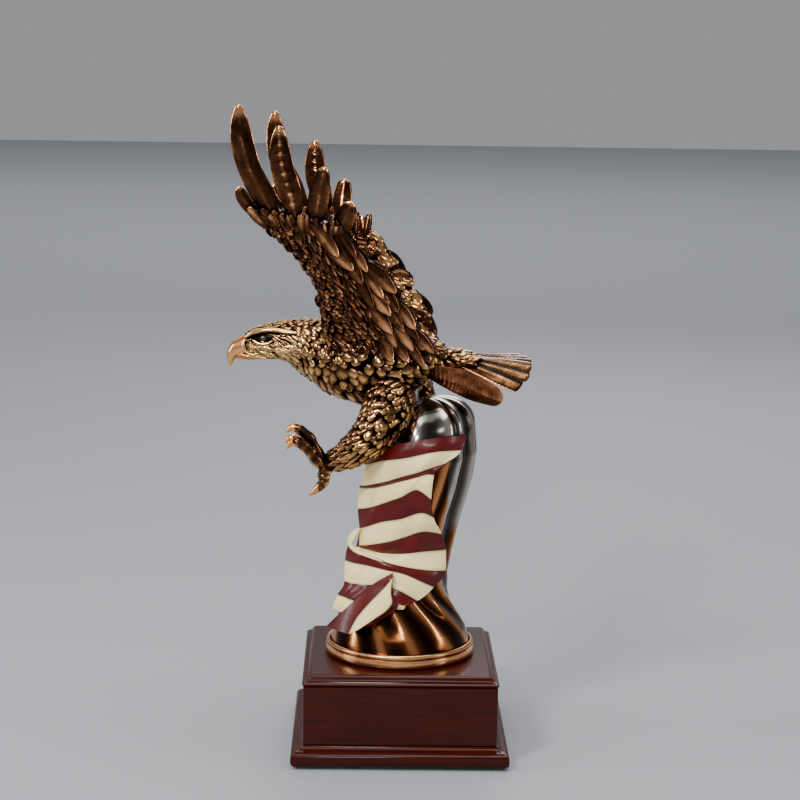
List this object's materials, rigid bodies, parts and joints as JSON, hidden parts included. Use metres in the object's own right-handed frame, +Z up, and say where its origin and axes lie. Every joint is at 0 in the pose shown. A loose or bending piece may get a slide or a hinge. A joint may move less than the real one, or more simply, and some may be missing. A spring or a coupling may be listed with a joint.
{
  "type": "bronze statuette",
  "caption": "Bronze-finish eagle with raised wings striking forward over a twisted draped column with a striped painted banner, on a square moulded mahogany plinth.",
  "frame": {"origin": "centre of the felt pad's underside, where the plinth stands", "axes": "+Z up; the eagle faces -X; its left side and the plinth's front face -Y"},
  "size_m": [0.1803, 0.1266, 0.3805],
  "materials": {
    "felt": "dark green felt",
    "mahogany": "dark mahogany under clear gloss lacquer",
    "bare_wood": "unfinished softwood",
    "steel": "zinc plated",
    "copper": "polished copper-bronze plate with dark patina in the hollows",
    "pewter": "bronze plate, gunmetal patina on top and copper below",
    "paint": "cream and maroon satin paint in stripes",
    "bronze": "antique bronze, black in the hollows and rubbed bright on the edges"
  },
  "bodies": {
    "root": {"felt_pad": "felt", "base_board": "mahogany", "front_panel": "mahogany", "right_panel": "mahogany", "back_panel": "mahogany", "left_panel": "mahogany", "corner_block_1": "bare_wood", "base_screw_1": "steel", "corner_block_2": "bare_wood", "base_screw_2": "steel", "corner_block_3": "bare_wood", "base_screw_3": "steel", "corner_block_4": "bare_wood", "base_screw_4": "steel", "top_board": "mahogany", "threaded_rod": "steel", "washer": "steel", "hex_nut": "steel", "foot_ring": "copper", "column": "pewter", "banner": "paint", "banner_pin_upper": "steel", "banner_pin_lower": "steel", "eagle_body": "bronze", "left_wing": "bronze", "right_wing": "bronze", "tail": "bronze", "left_leg": "bronze", "right_leg": "bronze", "left_wing_pin": "steel", "right_wing_pin": "steel", "left_leg_pin": "steel", "right_leg_pin": "steel", "tail_pin": "steel"}
  },
  "joints": []
}
